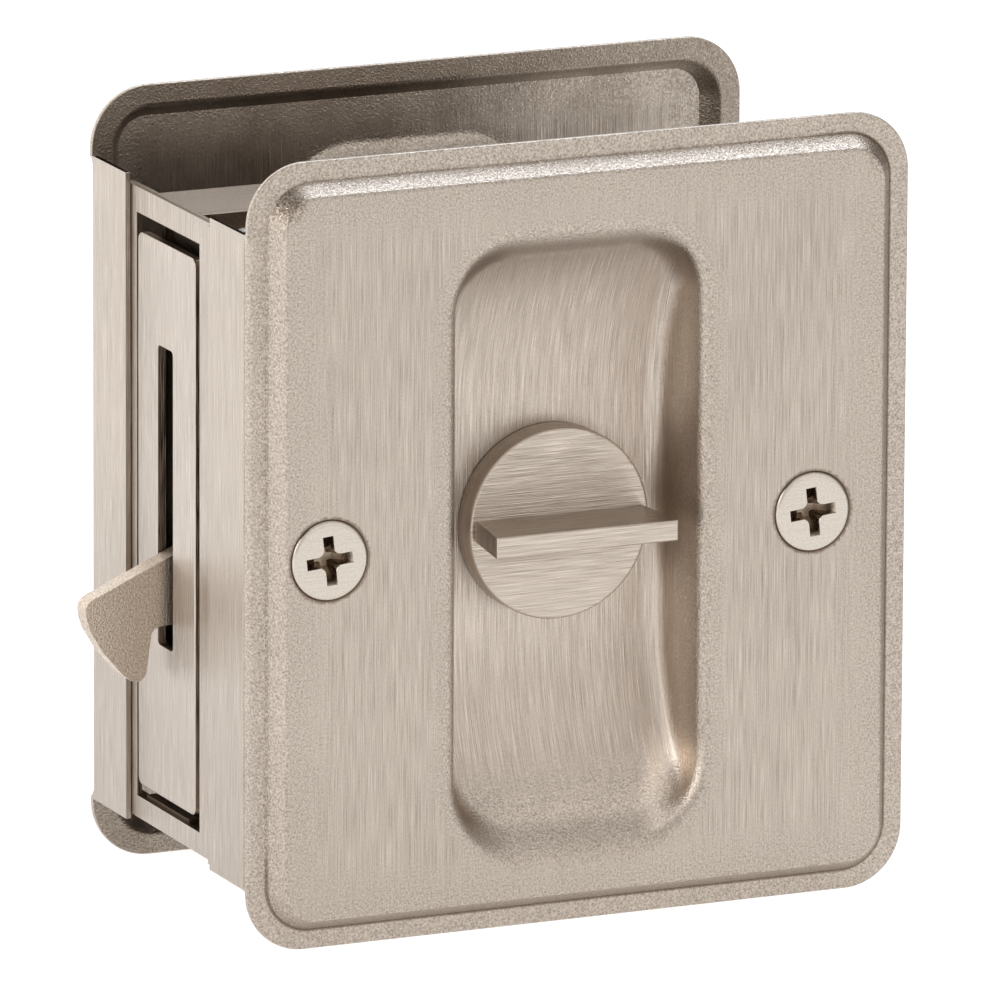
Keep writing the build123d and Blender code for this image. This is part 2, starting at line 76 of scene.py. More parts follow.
SLOT = {n: "plain_steel" for n in nodes}
SLOT.update({n: "trim_nickel" for n in ("front_trim", "rear_trim")})
SLOT.update({n: "case_steel" for n in ("case_body", "case_cover")})
SLOT.update({n: "turn_nickel" for n in ("thumb_turn", "release_button")})
SLOT.update({n: "screw_nickel" for n in ("screw_left", "screw_right")})
SLOT.update({n: "spring_steel" for n in ("detent_spring", "turn_clip", "release_clip")})
SLOT.update({"faceplate": "face_nickel", "hook_bolt": "hook_steel", "hub": "hub_brass"})
BODY = {}
for name, o in nodes.items():
    BODY[name] = o["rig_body"]

# ---- camera --------------------------------------------------------------
cam_data = bpy.data.cameras.new("camera")
cam = bpy.data.objects.new("camera", cam_data)
scene.collection.objects.link(cam)
A, E, R = math.radians(24.161), math.radians(13.612), math.radians(0.278)
fwd = Vector((math.sin(A) * math.cos(E), math.cos(A) * math.cos(E), -math.sin(E)))
right = Vector((math.cos(A), -math.sin(A), 0))
up = right.cross(fwd)
r2 = right * math.cos(R) + up * math.sin(R)
u2 = up * math.cos(R) - right * math.sin(R)
back = -fwd
cam.matrix_world = Matrix((
    (r2.x, u2.x, back.x, -549.14 * MM),
    (r2.y, u2.y, back.y, -1302.88 * MM),
    (r2.z, u2.z, back.z, 344.38 * MM),
    (0, 0, 0, 1)))
cam_data.lens = 540
cam_data.sensor_width = 36
cam_data.clip_start = 0.05
cam_data.clip_end = 60
scene.camera = cam

scene.view_settings.view_transform = "Standard"
scene.view_settings.look = "None"
scene.view_settings.exposure = 0
scene.view_settings.gamma = 1
scene.cycles.max_bounces = 6
scene.cycles.glossy_bounces = 6
scene.cycles.diffuse_bounces = 2


# ---- node helpers --------------------------------------------------------
class Graph:
    def __init__(self, tree):
        self.t = tree
        tree.nodes.clear()

    def add(self, kind, ins=None, **props):
        n = self.t.nodes.new(kind)
        for k, v in props.items():
            setattr(n, k, v)
        for k, v in (ins or {}).items():
            self.put(n.inputs[k], v)
        return n

    def put(self, socket, v):
        if isinstance(v, bpy.types.NodeSocket):
            self.t.links.new(v, socket)
        else:
            socket.default_value = v

    def m(self, op, a, b=0.0, c=0.0, clamp=False):
        n = self.add("ShaderNodeMath", operation=op, use_clamp=clamp)
        self.put(n.inputs[0], a)
        self.put(n.inputs[1], b)
        self.put(n.inputs[2], c)
        return n.outputs[0]

    def v(self, op, a, b=(0, 0, 0)):
        n = self.add("ShaderNodeVectorMath", operation=op)
        self.put(n.inputs[0], a)
        self.put(n.inputs[1], b)
        return n.outputs["Value"] if op in ("DOT_PRODUCT", "LENGTH") else n.outputs[0]

    def step(self, x, a, b, lo=0.0, hi=1.0):
        n = self.add("ShaderNodeMapRange", {"Value": x, "From Min": a, "From Max": b, "To Min": lo, "To Max": hi},
                     interpolation_type="SMOOTHSTEP")
        return n.outputs[0]

    def lin(self, x, a, b, lo=0.0, hi=1.0):
        n = self.add("ShaderNodeMapRange", {"Value": x, "From Min": a, "From Max": b, "To Min": lo, "To Max": hi})
        return n.outputs[0]

    def noise(self, p, scale, detail=2.0, rough=0.5, dist=0.0):
        if isinstance(scale, tuple):
            p = self.v("MULTIPLY", p, scale)
            scale = 1.0
        n = self.add("ShaderNodeTexNoise", {"Vector": p, "Scale": scale, "Detail": detail, "Roughness": rough, "Distortion": dist})
        return n.outputs["Fac"]

    def line(self, u, lng, su, sl, detail, rough):
        # two-dimensional noise drawn out along one direction
        c = self.add("ShaderNodeCombineXYZ", {"X": self.m("MULTIPLY", u, su), "Y": self.m("MULTIPLY", lng, sl)})
        n = self.add("ShaderNodeTexNoise", noise_dimensions="2D")
        self.put(n.inputs["Vector"], c.outputs[0])
        self.put(n.inputs["Scale"], 1.0)
        self.put(n.inputs["Detail"], detail)
        self.put(n.inputs["Roughness"], rough)
        return n.outputs["Fac"]

    def mixf(self, f, a, b):
        n = self.add("ShaderNodeMix", data_type="FLOAT")
        self.put(n.inputs[0], f)
        self.put(n.inputs[2], a)
        self.put(n.inputs[3], b)
        return n.outputs[0]

    def mixc(self, f, a, b, mode="MIX"):
        n = self.add("ShaderNodeMix", data_type="RGBA", blend_type=mode)
        self.put(n.inputs[0], f)
        self.put(n.inputs[6], a if isinstance(a, bpy.types.NodeSocket) else (*a, 1.0))
        self.put(n.inputs[7], b if isinstance(b, bpy.types.NodeSocket) else (*b, 1.0))
        return n.outputs[2]

    def grey(self, f):
        n = self.add("ShaderNodeCombineColor")
        for i in range(3):
            self.put(n.inputs[i], f)
        return n.outputs[0]

    def rrect(self, x, z, cx, cz, hx, hz, r):
        # signed distance to a rounded rectangle, negative inside
        qx = self.m("SUBTRACT", self.m("ABSOLUTE", self.m("SUBTRACT", x, cx)), hx - r)
        qz = self.m("SUBTRACT", self.m("ABSOLUTE", self.m("SUBTRACT", z, cz)), hz - r)
        ax = self.m("MAXIMUM", qx, 0.0)
        az = self.m("MAXIMUM", qz, 0.0)
        out = self.m("SQRT", self.m("ADD", self.m("MULTIPLY", ax, ax), self.m("MULTIPLY", az, az)))
        inn = self.m("MINIMUM", self.m("MAXIMUM", qx, qz), 0.0)
        return self.m("SUBTRACT", self.m("ADD", out, inn), r)


def coords(g):
    # millimetres in the part's own frame
    tc = g.add("ShaderNodeTexCoord")
    p = g.v("MULTIPLY", tc.outputs["Object"], (1000.0, 1000.0, 1000.0))
    s = g.add("ShaderNodeSeparateXYZ", {"Vector": p})
    return p, s.outputs[0], s.outputs[1], s.outputs[2]


def metal(name, base, rough, brush="Z", lines=1.0, grain=0.0, zones=None, dark=None, spread=0.2, bump=1.0, blotch=0.35, warmth=0.8):
    """Satin plated metal: fine brushed lines along one axis, or a fine grain, or both by zone."""
    mat = bpy.data.materials.new(name)
    mat.use_nodes = True
    g = Graph(mat.node_tree)
    p, x, y, z = coords(g)
    line = grn = None
    if zones is not None or grain < 1.0:
        # long lines of three sizes along the brushing direction
        # the pattern runs along the brushing axis and varies across it on whichever side the surface faces
        n3 = g.add("ShaderNodeSeparateXYZ", {"Vector": g.add("ShaderNodeNewGeometry").outputs["Normal"]})
        if brush == "Z":
            w = g.step(g.m("ABSOLUTE", n3.outputs[0]), 0.62, 0.86)
            u, lng = g.mixf(w, x, y), z
        elif brush == "X":
            w = g.step(g.m("ABSOLUTE", n3.outputs[1]), 0.62, 0.86)
            u, lng = g.mixf(w, y, z), x
        else:
            u, lng = g.m("ADD", x, z), y
        fine = g.line(u, lng, 10.0, 0.05, 1.0, 0.8)
        wide = g.line(u, lng, 2.6, 0.028, 0.0, 0.5)
        hair = g.line(u, lng, 17.0, 0.25, 0.0, 0.5)
        hl = g.m("ADD", g.m("MULTIPLY", fine, 0.95), g.m("MULTIPLY", hair, 1.05))
        line = g.m("ADD", hl, g.m("MULTIPLY", wide, 0.22))
        line = g.m("SUBTRACT", g.m("SUBTRACT", line, 1.10), g.m("MULTIPLY", g.step(wide, 0.66, 0.74), 0.16))
        line = g.m("MULTIPLY", line, lines)
    if zones is not None or grain > 0.0:
        gr1 = g.noise(p, 4.6, 1.0, 0.9)
        grn = g.m("SUBTRACT", g.m("MULTIPLY", g.m("SUBTRACT", gr1, 0.5), 2.3), 0.05)
    gz = zones(g, p, x, y, z) if zones is not None else grain
    if line is None:
        tex = grn
    elif grn is None:
        tex = line
    else:
        tex = g.mixf(gz, line, grn)
    # slow blotches
    blot = g.m("SUBTRACT", g.noise(p, 0.10, 1.0, 0.5), 0.5)
    val = g.m("ADD", g.m("MULTIPLY", tex, spread * 2.2), g.m("MULTIPLY", blot, spread * blotch))
    val = g.m("ADD", val, 1.0)
    # the zone function scales the tone with painted shade and painted light
    if dark is not None:
        val = g.m("MULTIPLY", val, dark(g, p, x, y, z))
    col = g.mixc(1.0, base, g.grey(val), "MULTIPLY")
    # darker tones are warmer
    warm = g.m("SUBTRACT", 1.0, val, clamp=True)
    col = g.mixc(g.m("MULTIPLY", warm, warmth, clamp=True), col, (base[0] * 0.60, base[1] * 0.50, base[2] * 0.40))
    rgh = g.m("ADD", rough, g.m("MULTIPLY", tex, -0.22))
    b = g.add("ShaderNodeBump", {"Strength": 0.7 * bump, "Distance": 0.00004, "Height": tex})
    s = g.add("ShaderNodeBsdfPrincipled", {"Base Color": col, "Metallic": 1.0, "Roughness": rgh, "Normal": b.outputs[0]})
    out = g.add("ShaderNodeOutputMaterial")
    g.t.links.new(s.outputs[0], out.inputs[0])
    return mat


def trim_zone(g, p, x, y, z):
    # grainy rim, shoulder and cup lip; brushed elsewhere
    ay = g.m("ABSOLUTE", y)
    wob = g.m("MULTIPLY", g.m("SUBTRACT", g.noise(p, 0.8, 1.0, 0.7), 0.5), 3.4)
    dp = g.m("ADD", g.rrect(x, z, 34.925, 0.0, 32.52, 36.6, 4.3), wob)
    edge = g.step(dp, -7.5, -0.8)
    dc = g.m("ADD", g.rrect(x, z, 34.2, -0.5, 13.0, 30.1, 7.0), g.m("MULTIPLY", wob, 0.5))
    lip = g.m("MULTIPLY", g.step(dc, -1.2, 0.2), g.step(dc, 3.4, 1.0))
    # the scoop's lower end is grainy further in
    end = g.m("MULTIPLY", g.step(dc, 0.6, -0.4), g.step(g.m("ADD", z, wob), -22.5, -27.5))
    out = g.m("MAXIMUM", edge, g.m("MULTIPLY", g.m("MAXIMUM", lip, end), 0.95))
    # the folded flange is brushed
    out = g.m("MULTIPLY", out, g.m("MAXIMUM", g.step(ay, 18.2, 19.2), g.step(x, 1.4, 2.4)))
    return g.m("ADD", 0.20, g.m("MULTIPLY", out, 0.80))


def trim_painted_light_and_dirt(g, p, x, y, z):
    # painted shade in the crease at the foot of the panel, in the gap round the screw heads, on the flange's cut faces
    # and over the rim on the side that faces the door; painted light inside the cup; a painted reflection as dark
    # speckle in the panel's upper corners; random dirt on the side that faces the door
    ay = g.m("ABSOLUTE", y)
    dp = g.rrect(x, z, 34.925, 0.0, 32.92, 37.0, 4.6)
    # painted shade: a dark line in the crease at the foot of the panel, on its right and bottom sides only
    crease_shade = g.m("MULTIPLY", g.step(dp, -0.20, -0.06), g.step(dp, 0.22, 0.06))
    crease_shade = g.m("MULTIPLY", crease_shade, g.step(ay, 19.3, 19.5))
    crease_shade = g.m("MULTIPLY", crease_shade, g.m("MAXIMUM", g.step(x, 58.0, 64.0, 0.2, 1.0), g.step(z, -26.0, -32.0)))
    dc = g.rrect(x, z, 34.2, -0.5, 13.0, 30.1, 7.0)
    nw = g.noise(p, 2.2, 1.0, 0.9)
    # painted shade: a dark ring in the gap between each screw head and its dimple
    ring = None
    for sx in (7.8, 59.0):
        dx = g.m("SUBTRACT", x, sx)
        r = g.m("SQRT", g.m("ADD", g.m("MULTIPLY", dx, dx), g.m("MULTIPLY", z, z)))
        r = g.m("ADD", r, g.m("MULTIPLY", g.m("SUBTRACT", nw, 0.5), 0.5))
        q = g.step(r, 4.42, 4.05)
        ring = q if ring is None else g.m("MAXIMUM", ring, q)
    ring = g.m("MULTIPLY", ring, g.step(y, -19.0, -19.4))
    nr = g.v("MULTIPLY", g.add("ShaderNodeNewGeometry").outputs["True Normal"], (1.0, 0.0, 0.0))
    nx = g.v("LENGTH", nr)
    # painted shade on the flange's cut faces, which face the dark gap round the faceplate
    cut_face_shade = g.m("MULTIPLY", g.step(nx, 0.4, 0.2), g.m("MULTIPLY", g.step(x, 1.3, 1.2), g.step(ay, 9.9, 9.6)))
    at = g.add("ShaderNodeAttribute", attribute_name="inside", attribute_type="GEOMETRY").outputs["Fac"]
    # painted shade over the rim, its step and the flange on the side that faces the door
    rimside_shade = g.m("MULTIPLY", at, g.step(dp, -1.4, -0.6))
    # painted reflection: dark speckle in the panel's upper corners, where the bevel mirrors a dark object
    reflection_speckle = g.step(g.noise(p, 4.2, 1.0, 0.8), 0.44, 0.56)
    corner_reflection = None
    for cx, cz, amt in ((3.7, 35.2, 0.58), (66.4, 35.0, 0.42)):
        ex, ez = g.m("SUBTRACT", x, cx), g.m("SUBTRACT", z, cz)
        r = g.m("SQRT", g.m("ADD", g.m("MULTIPLY", ex, ex), g.m("MULTIPLY", ez, ez)))
        q = g.m("MULTIPLY", g.step(r, 2.3, 0.9), amt)
        corner_reflection = q if corner_reflection is None else g.m("MAXIMUM", corner_reflection, q)
    corner_reflection = g.m("MULTIPLY", g.m("MULTIPLY", corner_reflection, reflection_speckle), g.m("MULTIPLY", g.step(y, -19.6, -19.75), g.step(dp, 0.1, -0.1)))
    dirt = g.m("MULTIPLY", at, g.step(g.noise(p, 0.16, 2.0, 0.6), 0.44, 0.66))
    out = g.m("SUBTRACT", 1.0, g.m("MULTIPLY", crease_shade, 0.60))
    out = g.m("MULTIPLY", out, g.m("SUBTRACT", 1.0, corner_reflection))
    # painted light: the inside of the cup is up to twelve percent brighter
    out = g.m("MULTIPLY", out, g.step(dc, -0.6, -2.6, 1.0, 1.12))
    # painted light on the cup's side walls
    wall = g.m("MULTIPLY", g.step(nx, 0.5, 0.8), g.step(dc, -0.1, -0.5))
    out = g.m("MULTIPLY", out, g.m("ADD", 1.0, g.m("MULTIPLY", wall, 0.30)))
    # painted highlight in the cup's lower right corner
    low = g.m("MULTIPLY", g.m("MULTIPLY", g.step(z, -21.0, -25.0), g.step(x, 41.0, 43.5)), g.m("MULTIPLY", g.step(dc, 0.6, 0.0), g.step(dc, -4.5, -2.5)))
    out = g.m("MULTIPLY", out, g.m("ADD", 1.0, g.m("MULTIPLY", low, 0.55)))
    out = g.m("MULTIPLY", out, g.m("SUBTRACT", 1.0, g.m("MULTIPLY", ring, 0.62)))
    out = g.m("MULTIPLY", out, g.m("SUBTRACT", 1.0, g.m("MULTIPLY", cut_face_shade, 0.65)))
    out = g.m("MULTIPLY", out, g.m("SUBTRACT", 1.0, g.m("MULTIPLY", rimside_shade, 0.24)))
    return g.m("MULTIPLY", out, g.m("SUBTRACT", 1.0, g.m("MULTIPLY", dirt, 0.14)))


def along(g, axis):
    n = g.v("MULTIPLY", g.add("ShaderNodeNewGeometry").outputs["True Normal"], axis)
    return g.v("LENGTH", n)


def turn_painted_side_shade(g, p, x, y, z):
    # painted shade: the sides of the disc and bar are darker than the faces
    return g.step(along(g, (0.0, 1.0, 0.0)), 0.15, 0.6, 0.76, 1.0)


def plate_painted_edge_shade(g, p, x, y, z):
    # painted shade on the cut edges of the faceplate and the walls of its slot
    return g.step(along(g, (1.0, 0.0, 0.0)), 0.15, 0.4, 0.20, 1.0)


def case_painted_gap_shade(g, p, x, y, z):
    # painted shade on the end of the case behind the faceplate, seen through the gap round it
    q = g.m("MULTIPLY", g.step(x, 3.2, 2.4), g.step(along(g, (0.0, 0.0, 1.0)), 0.8, 0.6))
    return g.m("SUBTRACT", 1.0, g.m("MULTIPLY", q, 0.85))


def screw_painted_recess_shade(g, p, x, y, z):
    # painted shade inside the cross recess, darker with depth
    return g.step(y, -21.58, -20.6, 1.0, 0.30)


NICKEL = (0.482, 0.418, 0.360)
mats = {}
mats["trim_nickel"] = metal("trim_nickel", NICKEL, 0.33, "Z", zones=trim_zone, dark=trim_painted_light_and_dirt, spread=0.24)
mats["face_nickel"] = metal("face_nickel", (0.528, 0.464, 0.408), 0.32, "Z", dark=plate_painted_edge_shade, spread=0.2)
# painted shade: the case's base colour is kept dark to stand for the shade between the plates
mats["case_steel"] = metal("case_steel", (0.252, 0.196, 0.150), 0.42, "X", grain=0.6, dark=case_painted_gap_shade, spread=0.18)
mats["turn_nickel"] = metal("turn_nickel", (0.556, 0.486, 0.420), 0.32, "X", dark=turn_painted_side_shade, spread=0.22)
mats["hook_steel"] = metal("hook_steel", (0.580, 0.492, 0.410), 0.38, "X", grain=1.0, spread=0.26)
mats["screw_nickel"] = metal("screw_nickel", (0.60, 0.54, 0.475), 0.22, "X", lines=0.5, grain=0.4, dark=screw_painted_recess_shade, spread=0.12, bump=0.3)
mats["hub_brass"] = metal("hub_brass", (0.60, 0.44, 0.22), 0.35, "Y", grain=0.4, spread=0.12)
mats["spring_steel"] = metal("spring_steel", (0.30, 0.30, 0.31), 0.30, "X", grain=0.3, spread=0.12)
mats["plain_steel"] = metal("plain_steel", (0.46, 0.44, 0.41), 0.35, "Y", grain=1.0, spread=0.14)


# ---- pieces --------------------------------------------------------------
def soften(node, width=0.12, segs=2, angle=34.0, mat=None, plain=False, root=None):
    """A copy of a CAD node with its sharp edges eased, standing for the node."""
    src = nodes[node]
    bm = bmesh.new()
    bm.from_mesh(src.data)
    bmesh.ops.remove_doubles(bm, verts=bm.verts, dist=2e-6)
    bmesh.ops.dissolve_limit(bm, angle_limit=math.radians(0.4), use_dissolve_boundaries=False, verts=bm.verts, edges=bm.edges)
    lim = math.radians(angle)
    if root is not None:
        wide = [e for e in bm.edges if len(e.link_faces) == 2 and e.calc_face_angle(0.0) > lim and not e.is_convex
                and max(v.co.y for v in e.verts) < root[1] * MM]
        bmesh.ops.bevel(bm, geom=wide, offset=root[0] * MM, segments=4, profile=0.5, affect="EDGES", clamp_overlap=True)
    sharp = [e for e in bm.edges if len(e.link_faces) == 2 and e.calc_face_angle(0.0) > lim]
    if width > 0 and sharp:
        bmesh.ops.bevel(bm, geom=sharp, offset=width * MM, segments=segs, profile=0.5, affect="EDGES", clamp_overlap=True, loop_slide=True)
    me = bpy.data.meshes.new(node + "_shape")
    bm.to_mesh(me)
    bm.free()
    for f in me.polygons:
        f.use_smooth = True
    o = bpy.data.objects.new(node + "_look", me)
    scene.collection.objects.link(o)
    o.data.materials.append(mat or mats[SLOT[node]])
    w = o.modifiers.new("normals", "WEIGHTED_NORMAL")
    w.mode = "FACE_AREA_WITH_ANGLE"
    w.weight = 80
    w.keep_sharp = False
    if plain:
        return o
    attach(o, BODY[node])
    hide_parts(node)
    return o


for n, o in nodes.items():
    o.data.materials.clear()
    o.data.materials.append(mats[SLOT[n]])

for n, w in {"faceplate": 0.1, "case_body": 0.12, "case_cover": 0.12, "hook_bolt": 0.30, "release_button": 0.12}.items():
    soften(n, w, segs=3)
soften("thumb_turn", 0.12, root=(0.42, -16.2))


def cross(length, half, r, turn):
    # outline of a cross recess, anticlockwise, inner corners rounded
    out = []
    for k in range(4):
        c = half + r
        pts = [(length, -half), (length, half)]
        pts += [(c + r * math.cos(math.radians(270 - 90 * i / 6)), c + r * math.sin(math.radians(270 - 90 * i / 6))) for i in range(7)]
        a = math.radians(90 * k + turn)
        out += [(px * math.cos(a) - pz * math.sin(a), px * math.sin(a) + pz * math.cos(a)) for px, pz in pts]
    return out


def screw_look(node, sx, turn):
    """The screw's shank from the node and a flat countersunk head with a rounded cross recess."""
    face = -21.52
    bm = bmesh.new()
    bm.from_mesh(nodes[node].data)
    bmesh.ops.remove_doubles(bm, verts=bm.verts, dist=2e-6)
    bmesh.ops.bisect_plane(bm, geom=bm.verts[:] + bm.edges[:] + bm.faces[:], dist=1e-7, plane_co=(0, (face + 1.96) * MM, 0), plane_no=(0, 1, 0), clear_inner=True)
    rim = [e for e in bm.edges if len(e.link_faces) == 1]
    bmesh.ops.contextual_create(bm, geom=rim)
    seg = 72
    prof = [(3.42, -0.20), (3.62, -0.18), (3.78, -0.12), (3.89, -0.02), (3.95, 0.12), (2.08, 1.95)]
    rings = []
    for r, dy in prof:
        rings.append([bm.verts.new(((sx + r * math.cos(2 * math.pi * i / seg)) * MM, (face + dy) * MM, r * math.sin(2 * math.pi * i / seg) * MM)) for i in range(seg)])
    for a, b in zip(rings, rings[1:]):
        for i in range(seg):
            j = (i + 1) % seg
            bm.faces.new((a[i], a[j], b[j], b[i]))
    bm.faces.new(rings[-1])
    cuts = []
    for d, ln, hf, r in ((0.0, 2.45, 0.56, 0.66), (0.06, 2.39, 0.52, 0.66), (0.9, 2.12, 0.48, 0.52), (1.6, 1.35, 0.42, 0.34), (1.95, 0.9, 0.34, 0.22)):
        cuts.append([bm.verts.new(((sx + px) * MM, (face - 0.20 + d) * MM, pz * MM)) for px, pz in cross(ln, hf, r, turn)])
    m = len(cuts[0])
    for a, b in zip(cuts, cuts[1:]):
        for i in range(m):
            j = (i + 1) % m
            bm.faces.new((a[i], b[i], b[j], a[j]))
    bm.faces.new(list(reversed(cuts[-1])))
    ids = rings[0] + cuts[0]
    co = [Vector((v.co.x, v.co.z)) for v in ids]
    ed = [(i, (i + 1) % seg) for i in range(seg)] + [(seg + i, seg + (i + 1) % m) for i in range(m)]
    out = delaunay_2d_cdt([c / MM for c in co], ed, [], 0, 1e-7, True)
    star = [(c.x / MM, c.y / MM) for c in co[seg:]]

    def inside(px, pz):
        hit = False
        for i in range(m):
            (ax, az), (bx, bz) = star[i], star[(i + 1) % m]
            if (az > pz) != (bz > pz) and px < ax + (bx - ax) * (pz - az) / (bz - az):
                hit = not hit
        return hit
    for tri in out[2]:
        c = sum((out[0][i] for i in tri), Vector((0, 0))) / len(tri)
        if not inside(c.x, c.y):
            bm.faces.new([ids[out[3][i][0]] for i in tri])
    bmesh.ops.recalc_face_normals(bm, faces=bm.faces)
    for e in bm.edges:
        e.smooth = not (len(e.link_faces) == 2 and e.calc_face_angle(0.0) > math.radians(32))
    me = bpy.data.meshes.new(node + "_shape")
    bm.to_mesh(me)
    bm.free()
    for f in me.polygons:
        f.use_smooth = True
    o = bpy.data.objects.new(node + "_look", me)
    scene.collection.objects.link(o)
    o.data.materials.append(mats[SLOT[node]])
    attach(o, BODY[node])
    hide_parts(node)


screw_look("screw_left", 7.8, 5.5)
screw_look("screw_right", 59.0, 6.0)

# ---- trims: drawn sheet --------------------------------------------------
T = 0.55
RIM_Y, EMB, CUP_D = -19.62, 1.9, 8.0
FACE_Y = RIM_Y - EMB
HUB_X = 34.3
MOUTH = (34.2, -0.5, 13.0, 30.1, 7.0)
C8, S8 = math.cos(math.radians(8)), math.sin(math.radians(8))


def s_int(a, b, r):
    return np.minimum(-r, np.maximum(a, b)) + np.hypot(np.maximum(a + r, 0), np.maximum(b + r, 0))


def rr(x, z, cx, cz, hx, hz, r):
    qx, qz = np.abs(x - cx) - (hx - r), np.abs(z - cz) - (hz - r)
    return np.hypot(np.maximum(qx, 0), np.maximum(qz, 0)) + np.minimum(np.maximum(qx, qz), 0) - r


def smooth(v, a, b):
    u = np.clip((v - a) / (b - a), 0, 1)
    return u * u * (3 - 2 * u)


def cup_m(x, d, z):
    """Below zero inside the sheet's room side, d being the depth under the face."""
    s = -rr(x, z, *MOUTH)
    wall = -(s * C8 - d * S8)
    rt = ((29.6 + 0.35 - 10.5) ** 2 + CUP_D ** 2) / (2 * CUP_D)
    rb = ((30.6 + 0.15 - 10.5) ** 2 + CUP_D ** 2) / (2 * CUP_D)
    top = np.hypot(z - 10.5, d - (CUP_D - rt)) - rt
    bot = np.hypot(z + 10.5, d - (CUP_D - rb)) - rb
    scoop = np.where(z > 10.5, top, np.where(z < -10.5, bot, d - CUP_D))
    cup = s_int(wall, scoop, 1.7)
    lip = 1.25 + (1.0 * smooth(z, 17.0, 27.0) + 2.6 * smooth(-z, 16.0, 27.0)) * smooth(13.0 - np.abs(x - 34.2), 0.5, 7.0)
    return s_int(-d, -cup, lip)


def cup_depth(x, z):
    lo_, hi_ = np.full(len(x), -0.3), np.full(len(x), 9.0)
    for _ in range(44):
        mid = (lo_ + hi_) / 2
        air = cup_m(x, mid, z) > 0
        lo_, hi_ = np.where(air, mid, lo_), np.where(air, hi_, mid)
    return (lo_ + hi_) / 2


def cup_points(x, z):
    d = cup_depth(x, z)
    e = 2e-3
    g = np.stack([cup_m(x + e, d, z) - cup_m(x - e, d, z), cup_m(x, d + e, z) - cup_m(x, d - e, z), cup_m(x, d, z + e) - cup_m(x, d, z - e)], 1)
    g /= np.linalg.norm(g, axis=1)[:, None]
    return np.stack([x, FACE_Y + d, z], 1), g


class Sheet:
    def __init__(self):
        self.v, self.n, self.f = [], [], []

    def add(self, pts, nrm):
        i = len(self.v)
        self.v.extend([tuple(p) for p in pts])
        self.n.extend([tuple(q) for q in nrm])
        return list(range(i, i + len(pts)))

    def strip(self, a, b, closed=True, skip=None):
        m = len(a)
        for i in range(m if closed else m - 1):
            j = (i + 1) % m
            if skip is None or not skip(i, j):
                self.f.append((a[i], a[j], b[j], b[i]))

    def fill(self, loops, inner, keep):
        # triangles between closed loops, with loose points inside, in the X-Z plane
        ids = [i for lp in loops for i in lp] + list(inner)
        co = [Vector((self.v[i][0], self.v[i][2])) for i in ids]
        edges, k = [], 0
        for lp in loops:
            m = len(lp)
            edges += [(k + i, k + (i + 1) % m) for i in range(m)]
            k += m
        out = delaunay_2d_cdt(co, edges, [], 0, 1e-7, True)
        src = [o[0] if o else None for o in out[3]]
        for tri in out[2]:
            c = sum((out[0][i] for i in tri), Vector((0, 0))) / len(tri)
            if keep(c.x, c.y) and all(src[i] is not None for i in tri):
                self.f.append(tuple(ids[src[i]] for i in tri))

    def back(self):
        # the far side of the sheet, one thickness behind every point
        k = self.half = len(self.v)
        for p, q in zip(self.v[:k], self.n[:k]):
            self.v.append((p[0] - q[0] * T, p[1] - q[1] * T, p[2] - q[2] * T))
            self.n.append((-q[0], -q[1], -q[2]))
        self.f += [tuple(i + k for i in reversed(f)) for f in list(self.f)]
        return k


def ring_samples(special):
    """Corner arcs and side fractions shared by every outline ring, anticlockwise from the lower right corner."""
    out = []
    for c in range(4):
        for i in range(21):
            out.append(("c", c, i / 20, 0.0, 1.0))
        if c == 2:
            # left side, from the top down
            fr = sorted(set([i / 40 for i in range(1, 40)]))
            pts = [(f, 0.0, 1.0) for f in fr if not special or not (special[0][0] - 1e-6 < f < special[0][1] + 1e-6)]
            if special:
                (a, b), (ia, ib) = special
                pts += [(a, 0.0, 1.0), (a + 1e-9, 1.1, 0.0), (ia, 1.1, 0.0), (ib, 1.1, 0.0), (b, 1.1, 0.0), (b + 1e-9, 0.0, 1.0)]
                pts += [(f, 1.1, 0.0) for f in fr if ia + 0.004 < f < ib - 0.004]
                pts.sort()
            out += [("s", c, f, nx, ro) for f, nx, ro in pts]
        else:
            out += [("s", c, i / 30, 0.0, 1.0) for i in range(1, 30)]
    return out


def ring_at(samples, x0, x1, z0, z1, r):
    """Plan points and outward directions of a rounded rectangle at the shared samples."""
    # corners in order: lower right, upper right, upper left, lower left
    cc = [(x1 - r, z0 + r, -90), (x1 - r, z1 - r, 0), (x0 + r, z1 - r, 90), (x0 + r, z0 + r, 180)]
    pts, nrm = [], []
    for kind, c, f, nx, ro in samples:
        if kind == "c":
            a = math.radians(cc[c][2] + 90 * f)
            pts.append((cc[c][0] + r * math.cos(a), cc[c][1] + r * math.sin(a)))
            nrm.append((math.cos(a), math.sin(a)))
        else:
            a = math.radians(cc[c][2] + 90)
            n0 = (math.cos(a), math.sin(a))
            p = (cc[c][0] + r * n0[0], cc[c][1] + r * n0[1])
            q = cc[(c + 1) % 4]
            q = (q[0] + r * n0[0], q[1] + r * n0[1])
            pts.append((p[0] + (q[0] - p[0]) * f, p[1] + (q[1] - p[1]) * f))
            nrm.append(n0)
    return np.array(pts), np.array(nrm)


def circle(cx, cz, r, m):
    a = np.arange(m) * 2 * math.pi / m
    return np.stack([cx + r * np.cos(a), cz + r * np.sin(a)], 1), np.stack([np.cos(a), np.sin(a)], 1)


def lift(p, y, n2, th):
    """Plan points at height y with normals tilted by th from the room side towards n2."""
    y = np.full(len(p), y) if np.isscalar(y) else y
    v = np.stack([p[:, 0], y, p[:, 1]], 1)
    n = np.stack([n2[:, 0] * math.sin(th), np.full(len(p), -math.cos(th)), n2[:, 1] * math.sin(th)], 1)
    return v, n


